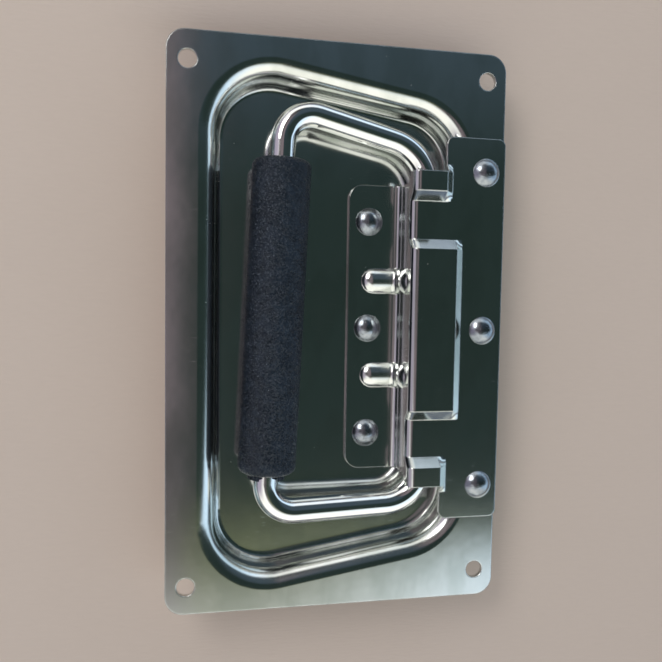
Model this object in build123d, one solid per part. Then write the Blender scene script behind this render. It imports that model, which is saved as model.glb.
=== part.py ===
from build123d import *
import os
from math import atan2, cos, degrees, hypot, radians, sin, tan

# Recessed pull handle: a pressed steel dish with a flange all round, a folded cover that is riveted
# to it and traps the two rods of a bent-wire bail, a moulded grip on the bail's leg, and two
# torsion springs that lay the bail back in the dish.
#
# Frame: X across the flange, from the grip towards the hinge; Y along the hinge; Z out of the
# panel. The origin is the centre of the flange, on its underside, where the panel touches it.
# All lengths are in millimetres and all angles in degrees.

# --- Sheet and flange -----------------------------------------------------------------------
SHEET = 1.2  # thickness of every pressed steel piece
PLATE_WIDTH = 93.5
PLATE_HEIGHT = 155.0
PLATE_CORNER_R = 5.0
SCREW_HOLE_R = 2.45
SCREW_INSET_X = 5.45  # from the plate's long edge
SCREW_INSET_Y = 7.5  # from the plate's short edge

# --- Dish -----------------------------------------------------------------------------------
DISH_DEPTH = 10.0  # from the flange's face to the floor's face
RIM_INSET_X = 8.1  # flat flange left beside each long side of the dish
RIM_INSET_Y = 8.0  # flat flange left at each end of the dish, on its centre line
DISH_TAPER = 9.5  # the ends close towards the hinge
DISH_CORNER_R = 15.5
RIM_R = 4.6  # rounding from the flange into the wall
FLOOR_R = 1.7  # rounding from the wall into the floor
DRAFT = 3.0

# --- Bail: one bent rod ---------------------------------------------------------------------
WIRE_R = 3.5
WIRE_GAP = 0.2  # room between the rods and what they turn in
UPPER_LEG_GAP = 18.4  # dish's long side to the leg's upper end
LOWER_LEG_GAP = 13.9
UPPER_END_GAP = 7.2  # dish's slanted end to where an arm's line meets the leg's
LOWER_END_GAP = 17.2
UPPER_HINGE_GAP = 6.2  # cover's cut end to where an arm's line meets the hinge axis
LOWER_HINGE_GAP = 5.8
UPPER_BEND_R = 14.0
LOWER_BEND_R = 11.5
LEG_BEND_R = 8.0
ROD_END_GAP = 12.0  # between the two rods' inner ends

# --- Grip -----------------------------------------------------------------------------------
GRIP_R = 8.0
GRIP_FLOOR_GAP = 0.4
GRIP_START = 14.7  # from the leg's upper end to the grip
GRIP_END = 11.6  # from the grip to the leg's lower end
GRIP_EDGE_R = 2.0
GRIP_BORE_GAP = 0.05
COLLAR_R = 5.15  # slit collar at the grip's lower end
COLLAR_LENGTH = 1.6
COLLAR_SLIT = 5.0

# --- Hinge cover ----------------------------------------------------------------------------
WING_WIDTH = 17.25  # strip that lies on the flange
WING_END_INSET = 23.5  # from the plate's short edge to the wing's end
WING_CORNER_R = 2.0
FOOT_WIDTH = 15.4  # strip that lies on the dish's floor, measured to the wall
FOOT_SHORTER = 2.8  # how far the foot's end stops short of the tongue's
FOOT_CORNER_R = 4.0
TONGUE_SHORTER = 10.0  # how far the tongue's cut end stops short of the wing's
FOOT_BEND_R = 2.2  # inside the bend from the foot up into the wall
TOP_BEND_R = 1.0  # inside the bend from the wall over into the tongue
STOP_GAP = 0.25  # raised bail to the wing's edge
EAR_RISE = 2.8  # raised ends, over the bail's bends
EAR_LENGTH = 5.5  # its flat top, along the hinge
EAR_END_SLOPE = 2.5
EAR_TOP_WIDTH = 7.3  # from the wall's bend to where the ear slopes down to the wing
EAR_SLOPE = 2.4
EAR_RUNOUT = 2.2  # length over which an ear's slope fades into the wing's edge
PAD_RISE = 2.2  # raised middle, over the springs
PAD_END_SLOPE = 2.7
PAD_TOP_WIDTH = 10.8
PAD_SLOPE = 2.2
BRIDGE_LENGTH = 10.6  # level sheet between an ear and the pad, along the hinge
WALL_NECK = 3.0  # height below the wing's level at which the wall starts to widen to the ears

# --- Stiffening beads across the cover's foot and wall --------------------------------------
BEAD_Y = 13.7
BEAD_WIDTH = 7.0
BEAD_RISE = 1.6
BEAD_FOOT_START = 4.1  # from the foot's edge
BEAD_CREST_R = 1.2  # along the crest, where the bead turns up the wall
BEAD_TOP_GAP = 2.4  # from the bead's rounded top end to the wing's level

# --- Rivets ---------------------------------------------------------------------------------
RIVET_HEAD_R = 4.0
RIVET_HEAD_HEIGHT = 2.0
RIVET_SHANK_R = 2.4
RIVET_HOLE_GAP = 0.05
WING_RIVET_INSET = 5.5  # from the plate's long edge
WING_RIVET_END = 9.5  # from the wing's end
FOOT_RIVET_INSET = 6.0  # from the foot's edge
FOOT_RIVET_END = 10.5  # from the foot's end
FLUSH_TAIL_FLARE = 0.4  # the wing's rivets are spread into a countersink under the flange
SET_TAIL_R = 3.6  # the foot's rivets are set into low cones behind the dish
SET_TAIL_END_R = 2.7
SET_TAIL_HEIGHT = 1.1

# --- Return springs and rod supports, under the cover ---------------------------------------
SPRING_WIRE_R = 0.6
SPRING_TURNS = 2.5
SPRING_PITCH = 1.6
SPRING_SIDE_GAP = 0.25  # coil to the cover's wall
SPRING_LEG_GAP = 0.5  # from the leg's end to the dish's floor
TANG_PAST_AXIS = 2.4
TANG_SLOT_GAP = 0.1
SUPPORT_LENGTH = 10.0
SUPPORT_WIDTH = 8.2
SUPPORT_BELOW_AXIS = 1.2  # from the hinge axis down to the saddle's top
SUPPORT_CHAMFER = 0.8

# --- Places worked out from the sizes above -------------------------------------------------
FACE_Z = SHEET  # the flange's outer face
FLOOR_Z = FACE_Z - DISH_DEPTH
EDGE_X = PLATE_WIDTH / 2
SCREW_X = EDGE_X - SCREW_INSET_X
SCREW_Y = PLATE_HEIGHT / 2 - SCREW_INSET_Y
MOUTH_X = EDGE_X - RIM_INSET_X - RIM_R  # the dish's long sides, without their rounding
MOUTH_Y = PLATE_HEIGHT / 2 - RIM_INSET_Y - RIM_R / cos(radians(DISH_TAPER))
END_LEAN = tan(radians(DISH_TAPER))
WING_X = EDGE_X - WING_WIDTH
WING_HALF = PLATE_HEIGHT / 2 - WING_END_INSET
TONGUE_HALF = WING_HALF - TONGUE_SHORTER
FOOT_HALF = TONGUE_HALF - FOOT_SHORTER
EAR_TOP_HALF = TONGUE_HALF - EAR_LENGTH
EAR_FOOT_HALF = EAR_TOP_HALF - EAR_END_SLOPE
PAD_FOOT_HALF = EAR_FOOT_HALF - BRIDGE_LENGTH
PAD_TOP_HALF = PAD_FOOT_HALF - PAD_END_SLOPE
HINGE_X = WING_X - STOP_GAP - WIRE_R
HINGE_Z = FACE_Z - WIRE_GAP - WIRE_R
COIL_R = WIRE_R + WIRE_GAP + SPRING_WIRE_R
WALL_BACK_X = HINGE_X - COIL_R - SPRING_WIRE_R - SPRING_SIDE_GAP
WALL_X = WALL_BACK_X - SHEET
FOOT_X = WALL_X - FOOT_WIDTH
FOOT_Z = FLOOR_Z + SHEET  # the foot's upper face
WING_Z = FACE_Z + SHEET  # the wing's upper face
LEG_Z = FLOOR_Z + GRIP_FLOOR_GAP + GRIP_R
UPPER_REACH = HINGE_X + MOUTH_X - UPPER_LEG_GAP  # hinge axis to the leg's ends
LOWER_REACH = HINGE_X + MOUTH_X - LOWER_LEG_GAP
UPPER_LEG_Y = MOUTH_Y + (UPPER_REACH - HINGE_X) * END_LEAN - UPPER_END_GAP
LOWER_LEG_Y = LOWER_END_GAP - MOUTH_Y - (LOWER_REACH - HINGE_X) * END_LEAN
UPPER_HINGE_Y = TONGUE_HALF + UPPER_HINGE_GAP
LOWER_HINGE_Y = -TONGUE_HALF - LOWER_HINGE_GAP
LEG_LENGTH = hypot(LOWER_REACH - UPPER_REACH, UPPER_LEG_Y - LOWER_LEG_Y)
GRIP_LENGTH = LEG_LENGTH - GRIP_START - GRIP_END
DIP = degrees(atan2(HINGE_Z - LEG_Z, (UPPER_REACH + LOWER_REACH) / 2))
ROD_END_Y = ROD_END_GAP / 2
SUPPORT_Y = (EAR_FOOT_HALF + PAD_FOOT_HALF) / 2
WING_RIVET_X = EDGE_X - WING_RIVET_INSET
FOOT_RIVET_X = FOOT_X + FOOT_RIVET_INSET
WING_RIVET_PITCH = WING_HALF - WING_RIVET_END
FOOT_RIVET_PITCH = FOOT_HALF - FOOT_RIVET_END
HOLE_R = RIVET_SHANK_R + RIVET_HOLE_GAP
MARGIN = 1.0  # how far a cutting tool reaches past what it cuts
SAME_LEVEL = 0.001  # faces this close in height count as one level


def column(radius, low_z, high_z, x=0.0, y=0.0):
    """An upright cylinder between two levels."""
    return Pos(x, y, low_z) * Cylinder(
        radius, high_z - low_z, align=(Align.CENTER, Align.CENTER, Align.MIN)
    )


def plate(low_x, high_x, low_y, high_y, low_z, high_z):
    """A flat block between two corners."""
    return Pos(low_x, low_y, low_z) * Box(
        high_x - low_x, high_y - low_y, high_z - low_z, align=(Align.MIN,) * 3
    )


def wing_rivet_places():
    return [(WING_RIVET_X, k * WING_RIVET_PITCH) for k in (1, 0, -1)]


def foot_rivet_places():
    return [(FOOT_RIVET_X, k * FOOT_RIVET_PITCH) for k in (1, 0, -1)]


# --- Dish and flange: one pressing ----------------------------------------------------------
def dish_outline():
    """The dish's mouth where its walls would meet the flange's face, with round corners."""
    lean = MOUTH_X * END_LEAN
    corners = [
        (-MOUTH_X, -MOUTH_Y - lean),
        (MOUTH_X, -MOUTH_Y + lean),
        (MOUTH_X, MOUTH_Y - lean),
        (-MOUTH_X, MOUTH_Y + lean),
    ]
    trapezoid = make_face(Polyline(*corners, close=True))
    return fillet(trapezoid.vertices(), DISH_CORNER_R)


def pressed_hollow(outline, depth):
    """What a punch of this outline fills when it goes down from the flange's face."""
    mouth = Pos(0, 0, FACE_Z) * outline
    return extrude(mouth, amount=depth, dir=(0, 0, -1), taper=DRAFT)


def inner_loop(part, level):
    """The edges of the dish's mouth on the flat face of a part at one level."""
    low, high = level - SAME_LEVEL, level + SAME_LEVEL
    face = part.faces().filter_by(Plane.XY).filter_by_position(Axis.Z, low, high)
    return face.sort_by(SortBy.AREA)[-1].inner_wires()[0].edges()


def dish_plate():
    flange = extrude(
        fillet(Rectangle(PLATE_WIDTH, PLATE_HEIGHT).vertices(), PLATE_CORNER_R), SHEET
    )
    outside = pressed_hollow(offset(dish_outline(), SHEET), DISH_DEPTH + SHEET)
    outside = fillet(outside.faces().sort_by(Axis.Z)[0].edges(), FLOOR_R + SHEET)
    body = flange + outside
    body = fillet(inner_loop(body, 0), RIM_R - SHEET)
    inside = pressed_hollow(dish_outline(), DISH_DEPTH)
    inside = fillet(inside.faces().sort_by(Axis.Z)[0].edges(), FLOOR_R)
    body -= inside
    body = fillet(inner_loop(body, FACE_Z), RIM_R)
    for x in (-SCREW_X, SCREW_X):
        for y in (-SCREW_Y, SCREW_Y):
            body -= column(SCREW_HOLE_R, -MARGIN, FACE_Z + MARGIN, x, y)
    for x, y in foot_rivet_places():
        body -= column(HOLE_R, FLOOR_Z - SHEET - MARGIN, FLOOR_Z + MARGIN, x, y)
    for x, y in wing_rivet_places():
        body -= Pos(x, y) * flared_shank(RIVET_HOLE_GAP, FACE_Z)
    return body


# --- Hinge cover: one folded and embossed sheet ---------------------------------------------
def cover_section(y, rise=0.0, top_width=PAD_TOP_WIDTH, slope=PAD_SLOPE):
    """The cover cut across the hinge: foot, wall, raised top and the slope down to the wing."""
    top = WING_Z + rise
    foot_bend_x = WALL_X - FOOT_BEND_R
    outer_r = TOP_BEND_R + SHEET
    crown_x = WALL_X + outer_r
    half = cos(radians(45))

    def side(offset_in):
        """The line of the sheet's face that lies offset_in behind its visible face."""
        foot_r = FOOT_BEND_R + offset_in
        top_r = outer_r - offset_in
        low, high = FOOT_Z + FOOT_BEND_R, top - outer_r
        wall = WALL_X + offset_in
        return [
            Line((FOOT_X, FOOT_Z - offset_in), (foot_bend_x, FOOT_Z - offset_in)),
            ThreePointArc(
                (foot_bend_x, FOOT_Z - offset_in),
                (foot_bend_x + foot_r * half, low - foot_r * half),
                (wall, low),
            ),
            Line((wall, low), (wall, high)),
            ThreePointArc(
                (wall, high),
                (crown_x - top_r * half, high + top_r * half),
                (crown_x, top - offset_in),
            ),
            Line((crown_x, top - offset_in), (crown_x + top_width, top - offset_in)),
            Line(
                (crown_x + top_width, top - offset_in),
                (crown_x + top_width + slope, WING_Z - offset_in),
            ),
            Line(
                (crown_x + top_width + slope, WING_Z - offset_in),
                (EDGE_X, WING_Z - offset_in),
            ),
        ]

    ends = [
        Line((FOOT_X, FOOT_Z - SHEET), (FOOT_X, FOOT_Z)),
        Line((EDGE_X, WING_Z - SHEET), (EDGE_X, WING_Z)),
    ]
    outline = make_face(side(0.0) + side(SHEET) + ends)
    return Plane(origin=(0, y, 0), x_dir=(1, 0, 0), z_dir=(0, -1, 0)) * outline


def between(first, second):
    """The straight run of sheet from one section to the next."""
    return loft([first, second], ruled=True)


def cover_half():
    """The folded sheet from the middle to one cut end of the tongue."""
    pad = {"rise": PAD_RISE}
    ear = {"top_width": EAR_TOP_WIDTH, "slope": EAR_SLOPE}
    return (
        between(cover_section(0, **pad), cover_section(PAD_TOP_HALF, **pad))
        + between(cover_section(PAD_TOP_HALF, **pad), cover_section(PAD_FOOT_HALF))
        + between(cover_section(PAD_FOOT_HALF), cover_section(EAR_FOOT_HALF))
        + between(
            cover_section(EAR_FOOT_HALF, **ear),
            cover_section(EAR_TOP_HALF, EAR_RISE, **ear),
        )
        + between(
            cover_section(EAR_TOP_HALF, EAR_RISE, **ear),
            cover_section(TONGUE_HALF, EAR_RISE, **ear),
        )
    )


def wing_end():
    """The wing past one cut end of the tongue, with the ear's slope fading into its edge."""
    strip = plate(WING_X, EDGE_X, TONGUE_HALF, WING_HALF, FACE_Z, WING_Z)
    corners = strip.edges().filter_by(Axis.Z).sort_by(Axis.Y)[-2:]
    strip = fillet(corners, WING_CORNER_R)
    slope_end = WALL_X + TOP_BEND_R + SHEET + EAR_TOP_WIDTH + EAR_SLOPE
    lift = EAR_RISE * (slope_end - WING_X) / EAR_SLOPE
    runout_y = TONGUE_HALF + EAR_RUNOUT

    def lip(y, raised):
        """The sloping strip of sheet beside the wing's edge, raised along that edge."""
        corners = [
            (WING_X, FACE_Z + raised),
            (slope_end, FACE_Z),
            (slope_end, WING_Z),
            (WING_X, WING_Z + raised),
        ]
        face = make_face(Polyline(*corners, close=True))
        return Plane(origin=(0, y, 0), x_dir=(1, 0, 0), z_dir=(0, -1, 0)) * face

    low_y = TONGUE_HALF - MARGIN
    strip -= plate(WING_X - MARGIN, slope_end, low_y, runout_y, -MARGIN, WING_Z + MARGIN)
    return strip + between(lip(TONGUE_HALF, lift), lip(runout_y, 0.0))


def foot_trim():
    """What is cut from one end of the foot and wall, which are shorter than the tongue."""
    neck_z = WING_Z - WALL_NECK
    outline = [
        (FOOT_HALF, FLOOR_Z - MARGIN),
        (FOOT_HALF, neck_z),
        (TONGUE_HALF, WING_Z),
        (TONGUE_HALF + MARGIN, WING_Z),
        (TONGUE_HALF + MARGIN, FLOOR_Z - MARGIN),
    ]
    face = Plane.YZ * make_face(Polyline(*outline, close=True))
    return Pos(FOOT_X - MARGIN, 0, 0) * extrude(face, WALL_BACK_X - FOOT_X + 1.1 * MARGIN)


def bead_pipe(radius, sink):
    """A round bar that follows the foot and the wall, its axis sink behind their faces."""
    reach = BEAD_WIDTH / 2
    axis_z = FOOT_Z - sink
    axis_x = WALL_X + sink
    turn_r = BEAD_CREST_R + BEAD_RISE + sink
    start = (FOOT_X + BEAD_FOOT_START + reach, axis_z)
    end = (axis_x, WING_Z - BEAD_TOP_GAP - reach)
    path = Plane.XZ * FilletPolyline(start, (axis_x, axis_z), end, radius=turn_r)
    bar = sweep(Plane(path ^ 0) * Circle(radius), path=path)
    return bar + Pos(path @ 0) * Sphere(radius) + Pos(path @ 1) * Sphere(radius)


def cover_beads(cover):
    """Presses the two stiffening beads into the cover from behind."""
    outer_r = ((BEAD_WIDTH / 2) ** 2 + BEAD_RISE**2) / (2 * BEAD_RISE)
    sink = outer_r - BEAD_RISE
    half_sheet = SHEET / 2
    front = plate(
        FOOT_X, WALL_X + half_sheet, -BEAD_WIDTH, BEAD_WIDTH, FOOT_Z - half_sheet, WING_Z
    )
    rib = bead_pipe(outer_r, sink) & front
    hollow = bead_pipe(outer_r - SHEET, sink)
    for y in (BEAD_Y, -BEAD_Y):
        cover = cover + Pos(0, y, 0) * rib - Pos(0, y, 0) * hollow
    return cover


def hinge_cover():
    half = cover_half() + wing_end() - foot_trim()
    corner = half.edges().filter_by(Axis.Z).sort_by(Axis.X)[:1]
    half = fillet(corner, FOOT_CORNER_R)
    cover = cover_beads(half + mirror(half, Plane.XZ))
    for x, y in foot_rivet_places():
        cover -= column(HOLE_R, FLOOR_Z - MARGIN, FOOT_Z + MARGIN, x, y)
    for x, y in wing_rivet_places():
        cover -= column(HOLE_R, FACE_Z - MARGIN, WING_Z + MARGIN, x, y)
    return cover


# --- Rivets ---------------------------------------------------------------------------------
def rivet_head(seat_z):
    """A low dome that sits flat on the sheet."""
    dome_r = (RIVET_HEAD_R**2 + RIVET_HEAD_HEIGHT**2) / (2 * RIVET_HEAD_HEIGHT)
    dome = Pos(0, 0, seat_z + RIVET_HEAD_HEIGHT - dome_r) * Sphere(dome_r)
    return dome & column(RIVET_HEAD_R, seat_z, seat_z + RIVET_HEAD_HEIGHT)


def flared_shank(gap, top_z):
    """A shank from the flange's underside up, spread at its foot, or the hole that it fills."""
    flare = Pos(0, 0, SHEET / 2) * Cone(
        RIVET_SHANK_R + FLUSH_TAIL_FLARE + gap, RIVET_SHANK_R + gap, SHEET
    )
    return flare + column(RIVET_SHANK_R + gap, 0, top_z)


def wing_rivet(x, y):
    """Holds the wing to the flange; its tail is flush, so that the flange lies on a panel."""
    return Pos(x, y) * (rivet_head(WING_Z) + flared_shank(0.0, WING_Z))


def foot_rivet(x, y):
    """Holds the foot to the dish's floor; its tail is a low cone behind the dish."""
    back_z = FLOOR_Z - SHEET
    tail = Pos(0, 0, back_z - SET_TAIL_HEIGHT / 2) * Cone(
        SET_TAIL_END_R, SET_TAIL_R, SET_TAIL_HEIGHT
    )
    return Pos(x, y) * (rivet_head(FOOT_Z) + column(RIVET_SHANK_R, back_z, FOOT_Z) + tail)


# --- Bail and grip --------------------------------------------------------------------------
def bail_plane():
    """The plane of the bent rod: from the hinge axis towards the leg, along Y, dipping a little."""
    c, s = cos(radians(DIP)), sin(radians(DIP))
    return Plane(origin=(HINGE_X, 0, HINGE_Z), x_dir=(-c, 0, -s), z_dir=(s, 0, -c))


def bail():
    points = [
        (0, ROD_END_Y),
        (0, UPPER_HINGE_Y),
        (UPPER_REACH, UPPER_LEG_Y),
        (LOWER_REACH, LOWER_LEG_Y),
        (0, LOWER_HINGE_Y),
        (0, -ROD_END_Y),
    ]
    bends = [UPPER_BEND_R, LEG_BEND_R, LEG_BEND_R, LOWER_BEND_R]
    path = bail_plane() * FilletPolyline(*points, radius=bends)
    rod = sweep(Plane(path ^ 0) * Circle(WIRE_R), path=path)
    slot_width = 2 * (SPRING_WIRE_R + TANG_SLOT_GAP)
    slot_depth = 2 * slot_width
    for y in (ROD_END_Y, -ROD_END_Y):
        slot = Box(2 * (WIRE_R + MARGIN), slot_depth, slot_width)
        rod -= Pos(HINGE_X, y, HINGE_Z) * slot
    return rod


def grip():
    """A moulded sleeve pressed over the leg, with a slit collar at its lower end."""
    plane = bail_plane()
    upper = plane.from_local_coords(Vector(UPPER_REACH, UPPER_LEG_Y, 0))
    lower = plane.from_local_coords(Vector(LOWER_REACH, LOWER_LEG_Y, 0))
    along = (lower - upper).normalized()
    start = upper + along * GRIP_START
    frame = Plane(origin=start, x_dir=-plane.z_dir, z_dir=along)
    sleeve = column(GRIP_R, 0, GRIP_LENGTH)
    sleeve = fillet(sleeve.edges().filter_by(GeomType.CIRCLE), GRIP_EDGE_R)
    collar_end = GRIP_LENGTH + COLLAR_LENGTH
    collar = column(COLLAR_R, GRIP_LENGTH, collar_end)
    collar -= plate(
        0, COLLAR_R, -COLLAR_SLIT / 2, COLLAR_SLIT / 2, GRIP_LENGTH, collar_end
    )
    bore = column(WIRE_R + GRIP_BORE_GAP, -MARGIN, collar_end + MARGIN)
    return frame * (sleeve + collar - bore)


# --- Under the cover ------------------------------------------------------------------------
def return_spring():
    """A torsion spring over the upper rod. Its tang crosses the slot in the rod's end, and its
    straight leg stands behind the cover's wall."""
    height = SPRING_TURNS * SPRING_PITCH
    coil = Helix(SPRING_PITCH, height, COIL_R, lefthand=True)
    end, heading = coil @ 1, coil % 1
    leg = Line(end, end + heading * (HINGE_Z - FLOOR_Z - SPRING_LEG_GAP))
    path = Wire([coil.edge(), leg.edge()])
    wire = sweep(Plane(path ^ 0) * Circle(SPRING_WIRE_R), path=path, is_frenet=True)
    tang_length = COIL_R + TANG_PAST_AXIS
    tang = Pos(COIL_R - tang_length / 2, 0, 0) * Rot(0, 90, 0)
    wire += tang * Cylinder(SPRING_WIRE_R, tang_length)
    wire += Pos(COIL_R, 0, 0) * Sphere(SPRING_WIRE_R)
    rod_end = Plane(origin=(HINGE_X, ROD_END_Y, HINGE_Z), x_dir=(1, 0, 0), z_dir=(0, 1, 0))
    return rod_end * wire


def rod_support():
    """A moulded saddle on the dish's floor, grooved for the upper rod that turns in it."""
    y = SUPPORT_Y - SUPPORT_LENGTH / 2
    left, right = HINGE_X - SUPPORT_WIDTH / 2, HINGE_X + SUPPORT_WIDTH / 2
    top_z = HINGE_Z - SUPPORT_BELOW_AXIS
    saddle = plate(left, right, y, y + SUPPORT_LENGTH, FLOOR_Z, top_z)
    saddle = chamfer(saddle.edges().filter_by(Axis.Z), SUPPORT_CHAMFER)
    groove = Cylinder(WIRE_R + WIRE_GAP, SUPPORT_LENGTH + 2 * MARGIN, rotation=(90, 0, 0))
    return saddle - Pos(HINGE_X, SUPPORT_Y, HINGE_Z) * groove


def build():
    """Every piece by its node's name."""
    spring, support = return_spring(), rod_support()
    pieces = {
        "dish_plate": dish_plate(),
        "hinge_cover": hinge_cover(),
        "bail": bail(),
        "grip": grip(),
        "return_spring_1": spring,
        "return_spring_2": mirror(spring, Plane.XZ),
        "rod_support_1": support,
        "rod_support_2": mirror(support, Plane.XZ),
    }
    for number, (x, y) in enumerate(wing_rivet_places(), 1):
        pieces[f"wing_rivet_{number}"] = wing_rivet(x, y)
    for number, (x, y) in enumerate(foot_rivet_places(), 1):
        pieces[f"foot_rivet_{number}"] = foot_rivet(x, y)
    return pieces


os.makedirs("parts", exist_ok=True)
for name, piece in build().items():
    export_step(piece, f"parts/{name}.step")
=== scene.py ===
"""Looks of the recessed pull handle: plated sheet, plated rod, moulded grip and satin rivets around
the fixed frame of its CAD solids, on a pale bench under a soft studio sky."""

from math import radians

import bpy
import numpy as np
from bpy.props import FloatProperty, FloatVectorProperty, PointerProperty
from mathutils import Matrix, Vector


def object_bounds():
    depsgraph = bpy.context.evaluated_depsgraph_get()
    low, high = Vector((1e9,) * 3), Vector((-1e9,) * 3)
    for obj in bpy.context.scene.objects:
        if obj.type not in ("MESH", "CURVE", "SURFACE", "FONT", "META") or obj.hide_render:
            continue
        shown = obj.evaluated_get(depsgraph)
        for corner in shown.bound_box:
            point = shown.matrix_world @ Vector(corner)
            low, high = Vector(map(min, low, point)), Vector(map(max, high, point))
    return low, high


bl_info = {
    "name": "Recessed Pull Handle Finish",
    "version": (1, 0, 0),
    "blender": (4, 5, 0),
    "location": "3D View > Sidebar > Handle",
    "description": "Finishes the pieces of a recessed pull handle and sets its bench and light",
    "category": "Object",
}

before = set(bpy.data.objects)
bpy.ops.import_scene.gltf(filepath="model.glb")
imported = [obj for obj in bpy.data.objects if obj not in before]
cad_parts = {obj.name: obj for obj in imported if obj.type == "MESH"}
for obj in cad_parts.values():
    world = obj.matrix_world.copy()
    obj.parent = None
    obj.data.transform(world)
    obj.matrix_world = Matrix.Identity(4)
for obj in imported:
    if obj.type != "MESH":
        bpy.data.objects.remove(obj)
cad_low, cad_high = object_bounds()

MM = 0.001
PER_METRE = 1.0 / MM
BENCH_GAP = 1e-4  # metres between the part's lowest point and the bench
HARD_STEP = 1e-4  # width of a step that is meant to be sharp
SOFT_RIM = 0.6  # share of a speck's radius where its rim starts to fade
BEVEL_SAMPLES = 4
SENSOR_WIDTH = 36.0  # millimetres
NEAR_CLIP = 0.005  # metres

# Heights in millimetres between which the dish's drawn wall begins and ends.
WALL_FOOT = (-7.6, -6.2)
WALL_TOP = (1.1, 0.7)

# Radii, in metres, with which the light sees the sharp edges.
SHEET_EDGE = 0.45 * MM
RIVET_EDGE = 0.3 * MM

# What a bump of 1 stands for, in metres.
SHEET_RELIEF = 12e-6
ROD_RELIEF = 10e-6
RIVET_RELIEF = 70e-6
GRIP_RELIEF = 120e-6
WIRE_RELIEF = 8e-6
CARD_RELIEF = 60e-6

# Numbers of the Mix node's sockets for colours.
MIX_FACTOR, MIX_FIRST, MIX_SECOND, MIX_RESULT = 0, 6, 7, 2


# --- Shader maths ---------------------------------------------------------------------------
class Value:
    """The output of a shader node. Arithmetic on it adds Math nodes to the same tree."""

    def __init__(self, tree, socket):
        self.tree = tree
        self.socket = socket

    def _math(self, operation, *operands):
        return self.tree.add("ShaderNodeMath", {"operation": operation}, dict(enumerate(operands)))

    def __add__(self, other):
        return self._math("ADD", self, other)

    def __radd__(self, other):
        return self._math("ADD", other, self)

    def __sub__(self, other):
        return self._math("SUBTRACT", self, other)

    def __rsub__(self, other):
        return self._math("SUBTRACT", other, self)

    def __mul__(self, other):
        return self._math("MULTIPLY", self, other)

    def __rmul__(self, other):
        return self._math("MULTIPLY", other, self)

    def __neg__(self):
        return self._math("MULTIPLY", self, -1.0)

    def step(self, low, high):
        """0 below low and 1 above high, with a smooth rise between; high below low falls instead."""
        if high < low:
            return 1.0 - self.step(high, low)
        return self.tree.add(
            "ShaderNodeMapRange",
            {"interpolation_type": "SMOOTHSTEP"},
            {"Value": self, "From Min": low, "From Max": high},
        )


class Tree:
    """The nodes of one material or world."""

    def __init__(self, owner):
        owner.use_nodes = True
        self.nodes = owner.node_tree.nodes
        self.links = owner.node_tree.links
        self.nodes.clear()

    def add(self, kind, settings=None, inputs=None, output=0):
        """Adds a node with its settings first and its inputs after; returns the named output."""
        node = self.nodes.new(kind)
        for name, value in (settings or {}).items():
            if name == "stops":
                self._stops(node.color_ramp, value)
            else:
                setattr(node, name, value)
        for name, value in (inputs or {}).items():
            if isinstance(value, Value):
                self.links.new(value.socket, node.inputs[name])
            else:
                node.inputs[name].default_value = value
        return Value(self, node.outputs[output]) if len(node.outputs) else None

    @staticmethod
    def _stops(ramp, stops):
        while len(ramp.elements) < len(stops):
            ramp.elements.new(1.0)
        for element, (place, colour) in zip(ramp.elements, stops):
            element.position = place
            element.color = (*colour, 1.0)

    def place(self):
        """Object coordinates in millimetres, in the part's own frame."""
        coordinate = self.add("ShaderNodeTexCoord", output="Object")
        return self.add(
            "ShaderNodeMapping", inputs={"Vector": coordinate, "Scale": (PER_METRE,) * 3}
        )

    def stretched(self, place, scale, turn=(0.0, 0.0, 0.0)):
        return self.add(
            "ShaderNodeMapping", inputs={"Vector": place, "Scale": scale, "Rotation": turn}
        )

    def parts(self, vector):
        """The three numbers of a vector."""
        split = self.add("ShaderNodeSeparateXYZ", inputs={0: vector})
        return [Value(self, output) for output in split.socket.node.outputs]

    def noise(self, place, scale, detail=2.0, roughness=0.5):
        settings = {"Vector": place, "Scale": scale, "Detail": detail, "Roughness": roughness}
        return self.add("ShaderNodeTexNoise", inputs=settings)

    def scaled(self, vector, factor):
        return self.add(
            "ShaderNodeVectorMath", {"operation": "SCALE"}, {0: vector, "Scale": factor}
        )

    def mix(self, factor, first, second):
        """The first colour where the factor is 0 and the second where it is 1."""
        first, second = (
            colour if isinstance(colour, Value) else (*colour, 1.0) for colour in (first, second)
        )
        inputs = {MIX_FACTOR: factor, MIX_FIRST: first, MIX_SECOND: second}
        return self.add("ShaderNodeMix", {"data_type": "RGBA"}, inputs, output=MIX_RESULT)

    def specks(self, place, scale, size, share):
        """Round dots of random place: 1 inside a dot, in a share of the cells."""
        inputs = {"Vector": place, "Scale": scale}
        distance = self.add("ShaderNodeTexVoronoi", inputs=inputs)
        chance = self.parts(self.add("ShaderNodeTexVoronoi", inputs=inputs, output="Color"))[0]
        chosen = chance.step(1.0 - share, 1.0 - share + HARD_STEP)
        return distance.step(size, size * SOFT_RIM) * chosen

    def edge_normal(self, radius):
        """The surface's normal with its sharp edges rounded."""
        return self.add("ShaderNodeBevel", {"samples": BEVEL_SAMPLES}, {"Radius": radius})

    def bump(self, height, depth, normal=None):
        """Tilts the normal by a height of 0 to 1 that stands for depth metres."""
        inputs = {"Height": height, "Strength": 1.0, "Distance": depth}
        if normal is not None:
            inputs["Normal"] = normal
        return self.add("ShaderNodeBump", inputs=inputs)

    def finish(self, **inputs):
        """A Principled surface with these inputs, wired to the output."""
        names = {name.replace("_", " "): value for name, value in inputs.items()}
        surface = self.add("ShaderNodeBsdfPrincipled", inputs=names)
        self.add("ShaderNodeOutputMaterial", inputs={"Surface": surface})


def new_material(name):
    """A new material and its empty tree of nodes."""
    material = bpy.data.materials.new(name)
    return material, Tree(material)


def dress(material, *nodes):
    """Gives CAD nodes a material in place of the plain one that they came with."""
    for name in nodes:
        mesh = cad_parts[name].data
        mesh.materials.clear()
        mesh.materials.append(material)


def nodes_named(start):
    return sorted(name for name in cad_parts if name.startswith(start))


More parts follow.
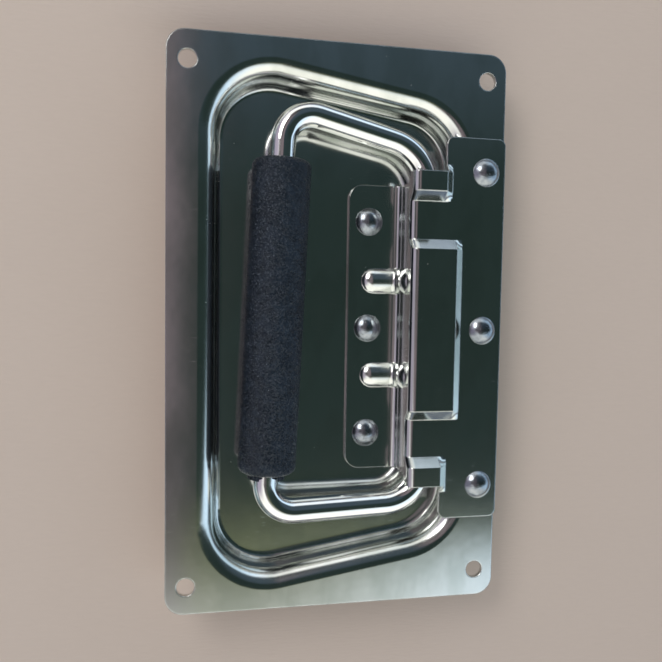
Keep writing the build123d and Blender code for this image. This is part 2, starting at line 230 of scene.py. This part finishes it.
# --- Finishes -------------------------------------------------------------------------------
def dust(tree, place):
    """Fine pale dust: small dots of two sizes."""
    large = tree.specks(place, scale=0.16, size=0.022, share=0.30)
    return large + tree.specks(place, scale=0.42, size=0.035, share=0.16)


def plated_sheet(settings):
    """Bright plating on rolled sheet: a soft smear in the gloss, a slow waviness from the press,
    rougher drawn walls, a few fine scratches and dust."""
    material, tree = new_material("plated_sheet")
    place = tree.place()
    z = tree.parts(place)[2]
    drawn = z.step(*WALL_FOOT) * z.step(*WALL_TOP)
    smear = tree.noise(tree.stretched(place, (1.0, 0.45, 1.0)), scale=0.09, detail=3.0)
    fine = tree.noise(place, scale=1.6, detail=3.0)
    slanted = tree.stretched(place, (0.12, 1.0, 0.5), turn=(0.0, 0.0, 0.5))
    scratches = tree.noise(slanted, scale=2.6, detail=1.0).step(0.70, 0.76)
    rubbed = scratches * tree.noise(place, scale=0.06).step(0.52, 0.62)
    dots = dust(tree, place)
    waves = tree.noise(place, scale=0.22, detail=1.0)
    grain = tree.noise(place, scale=2.4)
    roughness = settings.sheet_gloss + smear * 0.10 + fine * 0.03 + drawn * 0.06 + rubbed * 0.12
    height = waves * 0.75 + grain * (0.02 + drawn * 0.10)
    base = tree.mix(smear.step(0.42, 0.62), tuple(settings.sheet_tint), (0.60, 0.63, 0.60))
    tree.finish(
        Base_Color=tree.mix(dots, base, (0.80, 0.82, 0.80)),
        Metallic=1.0 - dots * 0.8,
        Roughness=roughness + dots * 0.4,
        Normal=tree.bump(height, SHEET_RELIEF, tree.edge_normal(SHEET_EDGE)),
    )
    return material


def plated_rod(settings):
    """Bright plating on drawn rod: clear gloss with a soft smear, slow waves and a little dust."""
    material, tree = new_material("plated_rod")
    place = tree.place()
    smear = tree.noise(place, scale=0.15, detail=3.0)
    waves = tree.noise(place, scale=0.3, detail=1.0)
    grain = tree.noise(place, scale=3.0)
    dots = tree.specks(place, scale=0.35, size=0.03, share=0.25)
    tree.finish(
        Base_Color=tree.mix(dots, tuple(settings.rod_tint), (0.8, 0.8, 0.78)),
        Metallic=1.0 - dots * 0.8,
        Roughness=settings.rod_gloss + smear * 0.10 + dots * 0.4,
        Normal=tree.bump(waves * 0.8 + grain * 0.06, ROD_RELIEF),
    )
    return material


def facets(tree, place, scale, tilt):
    """The surface's normal, turned a little in every grain of a fine moulded texture, so that
    single grains glint: normal + tilt * (random colour of the grain - 0.5), made unit length."""
    grain = tree.add(
        "ShaderNodeTexVoronoi", inputs={"Vector": place, "Scale": scale}, output="Color"
    )
    leaning = tree.add(
        "ShaderNodeVectorMath", {"operation": "SUBTRACT"}, {0: grain, 1: (0.5, 0.5, 0.5)}
    )
    normal = tree.add("ShaderNodeNewGeometry", output="Normal")
    turned = tree.add(
        "ShaderNodeVectorMath", {"operation": "ADD"}, {0: normal, 1: tree.scaled(leaning, tilt)}
    )
    return tree.add("ShaderNodeVectorMath", {"operation": "NORMALIZE"}, {0: turned})


def satin_rivet(settings):
    """Tumbled steel: a satin face with small pits and dents."""
    material, tree = new_material("satin_rivet")
    place = tree.place()
    cloud = tree.noise(place, scale=0.55, detail=3.0)
    pits = tree.specks(place, scale=1.4, size=0.25, share=0.35)
    dents = tree.noise(place, scale=0.7)
    grain = tree.noise(place, scale=4.0)
    height = dents + grain * 0.12 - pits * 0.35
    worn = (0.25, 0.28, 0.31)
    tree.finish(
        Base_Color=tree.mix(cloud.step(0.35, 0.65), tuple(settings.rivet_tint), worn),
        Metallic=1.0,
        Roughness=settings.rivet_gloss + cloud * 0.16,
        Normal=tree.bump(height, RIVET_RELIEF, tree.edge_normal(RIVET_EDGE)),
    )
    return material


def grip_plastic(settings):
    """Black moulded plastic with a fine sparked grain and a little dust."""
    material, tree = new_material("grip_plastic")
    place = tree.place()
    grain = tree.noise(place, scale=2.6, roughness=0.6)
    broad = tree.noise(place, scale=0.35)
    dots = tree.specks(place, scale=0.45, size=0.06, share=0.30)
    faded = (0.012, 0.018, 0.028)
    base = tree.mix(broad.step(0.35, 0.7), tuple(settings.grip_colour), faded)
    glints = facets(tree, place, scale=3.2, tilt=0.9)
    tree.finish(
        Base_Color=tree.mix(dots * 0.6, base, (0.30, 0.34, 0.38)),
        Roughness=settings.grip_gloss + grain * 0.10,
        Specular_IOR_Level=0.42,
        Specular_Tint=(0.72, 0.84, 1.0, 1.0),
        Normal=tree.bump(grain + broad * 0.3, GRIP_RELIEF, glints),
    )
    return material


def spring_wire():
    """Drawn spring wire, grey and slightly dull."""
    material, tree = new_material("spring_wire")
    place = tree.place()
    cloud = tree.noise(place, scale=1.2)
    tree.finish(
        Base_Color=tree.mix(cloud, (0.36, 0.36, 0.36), (0.50, 0.50, 0.48)),
        Metallic=1.0,
        Roughness=0.28 + cloud * 0.12,
        Normal=tree.bump(tree.noise(place, scale=5.0), WIRE_RELIEF),
    )
    return material


# --- Stage ----------------------------------------------------------------------------------
def bench_top(settings):
    """A flat disc: rings of points around the origin, its radius growing evenly from the middle."""
    rings, spokes = 12, 96
    radius, angle = np.meshgrid(
        np.linspace(0.0, settings.bench_radius, rings), np.linspace(0.0, 2.0 * np.pi, spokes)
    )
    level = np.full_like(radius, cad_low[2] - BENCH_GAP)
    points = np.stack([radius * np.cos(angle), radius * np.sin(angle), level], axis=-1)
    row, column = np.meshgrid(np.arange(spokes - 1), np.arange(rings - 1), indexing="ij")
    corner = row * rings + column
    faces = np.stack([corner, corner + 1, corner + rings + 1, corner + rings], axis=-1)
    mesh = bpy.data.meshes.new("bench")
    mesh.from_pydata(points.reshape(-1, 3).tolist(), [], faces.reshape(-1, 4).tolist())
    bench = bpy.data.objects.new("bench", mesh)
    bpy.context.scene.collection.objects.link(bench)
    material, tree = new_material("bench_card")
    place = tree.place()
    cloud = tree.noise(place, scale=0.02, detail=4.0)
    fibre = tree.noise(tree.stretched(place, (0.4, 2.0, 1.0)), scale=0.7, detail=3.0)
    pale = tuple(settings.bench_colour)
    deeper = tuple(0.90 * part for part in pale)
    tree.finish(
        Base_Color=tree.mix(cloud * 0.6 + fibre * 0.4, pale, deeper),
        Roughness=0.85,
        Normal=tree.bump(fibre, CARD_RELIEF),
    )
    mesh.materials.append(material)


def studio_sky(settings):
    """A dark ceiling, tinted by the side, above a bright ring of soft light and a dim lower band."""
    world = bpy.data.worlds.new("studio")
    bpy.context.scene.world = world
    tree = Tree(world)
    direction = tree.add("ShaderNodeTexCoord", output="Generated")
    x, y, z = tree.parts(direction)
    cloud = tree.noise(direction, scale=3.5)

    olive, blue_grey = (0.17, 0.19, 0.105), (0.060, 0.088, 0.112)
    slate, mauve = (0.05, 0.055, 0.055), (0.26, 0.21, 0.23)
    sky = tree.mix((-y).step(0.27, 0.38), tuple(settings.ceiling_colour), olive)
    sky = tree.mix(y.step(0.12, 0.40), sky, blue_grey)
    clouded = tree.mix(cloud.step(0.42, 0.60), slate, mauve)
    sky = tree.mix((x + cloud * 0.10).step(0.045, 0.015), sky, clouded)

    neutral, cool = (0.95, 0.93, 0.90), (0.62, 0.80, 0.98)
    dim, warm = (0.34, 0.30, 0.37), (1.0, 0.98, 0.90)
    ring = tree.mix(x.step(-0.2, 0.7), neutral, cool)
    ring = tree.mix(x.step(-0.35, -0.8), ring, dim)
    ring = tree.mix((-y).step(0.3, 0.8), ring, warm)
    bright = tree.scaled(ring, settings.ring_strength)
    top = 0.52 + (-y).step(0.05, 0.40) * 0.36
    top = top + (-x).step(0.1, 0.6) * 0.2 - x.step(0.3, 0.8) * 0.14
    lit = tree.mix((top - z).step(-0.06, 0.06), sky, bright)

    dusk, backdrop = (0.13, 0.17, 0.24), (0.80, 0.77, 0.74)
    reflected = tree.mix(z.step(0.20, 0.08), lit, dusk)
    seen = tree.add("ShaderNodeLightPath", output="Is Camera Ray")
    shown = tree.mix(seen, reflected, backdrop)
    background = tree.add("ShaderNodeBackground", inputs={"Color": shown, "Strength": 1.0})
    tree.add("ShaderNodeOutputWorld", inputs={"Surface": background})


def softbox(name, place, turn, width, height, power, colour):
    """A rectangular area lamp, turned by three angles in degrees."""
    lamp = bpy.data.lights.new(name, "AREA")
    lamp.shape = "RECTANGLE"
    lamp.size, lamp.size_y = width, height
    lamp.energy = power
    lamp.color = colour
    holder = bpy.data.objects.new(name, lamp)
    holder.location = place
    holder.rotation_euler = [radians(part) for part in turn]
    bpy.context.scene.collection.objects.link(holder)


def camera(settings):
    """The scene's camera, above the part and leaning a little to one side."""
    data = bpy.data.cameras.new("camera")
    data.sensor_width = SENSOR_WIDTH
    data.lens = settings.lens
    data.clip_start = NEAR_CLIP
    holder = bpy.data.objects.new("camera", data)
    holder.location = settings.camera_place
    holder.rotation_euler = settings.camera_turn
    bpy.context.scene.collection.objects.link(holder)
    bpy.context.scene.camera = holder


# --- Add-on ---------------------------------------------------------------------------------
def colour_property(name, description, default):
    return FloatVectorProperty(
        name=name, description=description, default=default, subtype="COLOR", min=0.0, max=1.0
    )


def share_property(name, description, default):
    return FloatProperty(
        name=name, description=description, default=default, subtype="FACTOR", min=0.0, max=1.0
    )


class HandleFinish(bpy.types.PropertyGroup):
    """Colours and gloss of the handle's pieces."""

    sheet_tint: colour_property("Sheet", "Tint of the plated sheet", (0.70, 0.72, 0.70))
    sheet_gloss: share_property("Sheet blur", "Least roughness of the plated sheet", 0.055)
    rod_tint: colour_property("Rod", "Tint of the plated rod", (0.76, 0.77, 0.76))
    rod_gloss: share_property("Rod blur", "Least roughness of the plated rod", 0.07)
    rivet_tint: colour_property("Rivets", "Tint of the rivet heads", (0.34, 0.37, 0.40))
    rivet_gloss: share_property("Rivet blur", "Least roughness of the rivets", 0.16)
    grip_colour: colour_property("Grip", "Colour of the grip's plastic", (0.006, 0.009, 0.014))
    grip_gloss: share_property("Grip blur", "Least roughness of the grip", 0.30)


class HandleStage(bpy.types.PropertyGroup):
    """Bench, light and camera."""

    bench_radius: FloatProperty(
        name="Bench", description="Radius of the bench top", default=2.5, unit="LENGTH", min=0.5
    )
    bench_colour: colour_property("Bench colour", "Colour of the bench", (0.66, 0.56, 0.49))
    ceiling_colour: colour_property("Ceiling", "Colour overhead", (0.024, 0.040, 0.037))
    ring_strength: FloatProperty(
        name="Ring", description="Strength of the bright ring of sky", default=1.45, min=0.0
    )
    lens: FloatProperty(
        name="Lens", description="Focal length in millimetres", default=36.81, min=10.0
    )
    camera_place: FloatVectorProperty(
        name="Camera", description="Where the camera stands", subtype="TRANSLATION",
        unit="LENGTH", default=(-0.037506, 0.010217, 0.183626),
    )
    camera_turn: FloatVectorProperty(
        name="Camera turn", description="How the camera is turned", subtype="EULER",
        unit="ROTATION", default=[radians(part) for part in (-3.4525, -10.8383, 0.9542)],
    )


class HANDLE_OT_sheet(bpy.types.Operator):
    """Plates the dish and the hinge cover"""

    bl_idname = "handle.sheet"
    bl_label = "Plated sheet"

    def execute(self, context):
        material = plated_sheet(context.scene.handle_finish)
        dress(material, "dish_plate", "hinge_cover")
        return {"FINISHED"}


class HANDLE_OT_bail(bpy.types.Operator):
    """Plates the bail"""

    bl_idname = "handle.bail"
    bl_label = "Plated bail"

    def execute(self, context):
        dress(plated_rod(context.scene.handle_finish), "bail")
        return {"FINISHED"}


class HANDLE_OT_grip(bpy.types.Operator):
    """Gives the grip and the rod saddles their grained plastic"""

    bl_idname = "handle.grip"
    bl_label = "Moulded grip"

    def execute(self, context):
        material = grip_plastic(context.scene.handle_finish)
        dress(material, "grip", *nodes_named("rod_support"))
        return {"FINISHED"}


class HANDLE_OT_rivets(bpy.types.Operator):
    """Gives all the rivets their satin steel"""

    bl_idname = "handle.rivets"
    bl_label = "Rivets"

    def execute(self, context):
        material = satin_rivet(context.scene.handle_finish)
        dress(material, *nodes_named("wing_rivet"), *nodes_named("foot_rivet"))
        return {"FINISHED"}


class HANDLE_OT_springs(bpy.types.Operator):
    """Gives the return springs their drawn wire"""

    bl_idname = "handle.springs"
    bl_label = "Return springs"

    def execute(self, context):
        dress(spring_wire(), *nodes_named("return_spring"))
        return {"FINISHED"}


class HANDLE_OT_stage(bpy.types.Operator):
    """Sets the bench, the sky, the soft light and the camera"""

    bl_idname = "handle.stage"
    bl_label = "Bench, light and camera"

    def execute(self, context):
        settings = context.scene.handle_stage
        bench_top(settings)
        studio_sky(settings)
        softbox(
            "key_light",
            place=(-0.55, 0.55, 0.62),
            turn=(-42.0, -40.0, 0.0),
            width=0.35,
            height=0.5,
            power=3.0,
            colour=(1.0, 0.98, 0.95),
        )
        camera(settings)
        context.scene.view_settings.view_transform = "Standard"
        return {"FINISHED"}


class HANDLE_PT_panel(bpy.types.Panel):
    """Lists the handle's finishes and its stage"""

    bl_idname = "HANDLE_PT_panel"
    bl_label = "Recessed pull handle"
    bl_space_type = "VIEW_3D"
    bl_region_type = "UI"
    bl_category = "Handle"

    def draw(self, context):
        for group in (context.scene.handle_finish, context.scene.handle_stage):
            for name in group.bl_rna.properties.keys():
                if name not in ("name", "rna_type"):
                    self.layout.prop(group, name)
        for operator in OPERATORS:
            self.layout.operator(operator.bl_idname)


OPERATORS = (
    HANDLE_OT_sheet,
    HANDLE_OT_bail,
    HANDLE_OT_grip,
    HANDLE_OT_rivets,
    HANDLE_OT_springs,
    HANDLE_OT_stage,
)
CLASSES = (HandleFinish, HandleStage, *OPERATORS, HANDLE_PT_panel)


def register():
    for item in CLASSES:
        bpy.utils.register_class(item)
    bpy.types.Scene.handle_finish = PointerProperty(type=HandleFinish)
    bpy.types.Scene.handle_stage = PointerProperty(type=HandleStage)


def unregister():
    del bpy.types.Scene.handle_stage
    del bpy.types.Scene.handle_finish
    for item in reversed(CLASSES):
        bpy.utils.unregister_class(item)


def main():
    register()
    bpy.ops.handle.sheet()
    bpy.ops.handle.bail()
    bpy.ops.handle.grip()
    bpy.ops.handle.rivets()
    bpy.ops.handle.springs()
    bpy.ops.handle.stage()


if __name__ == "__main__":
    main()
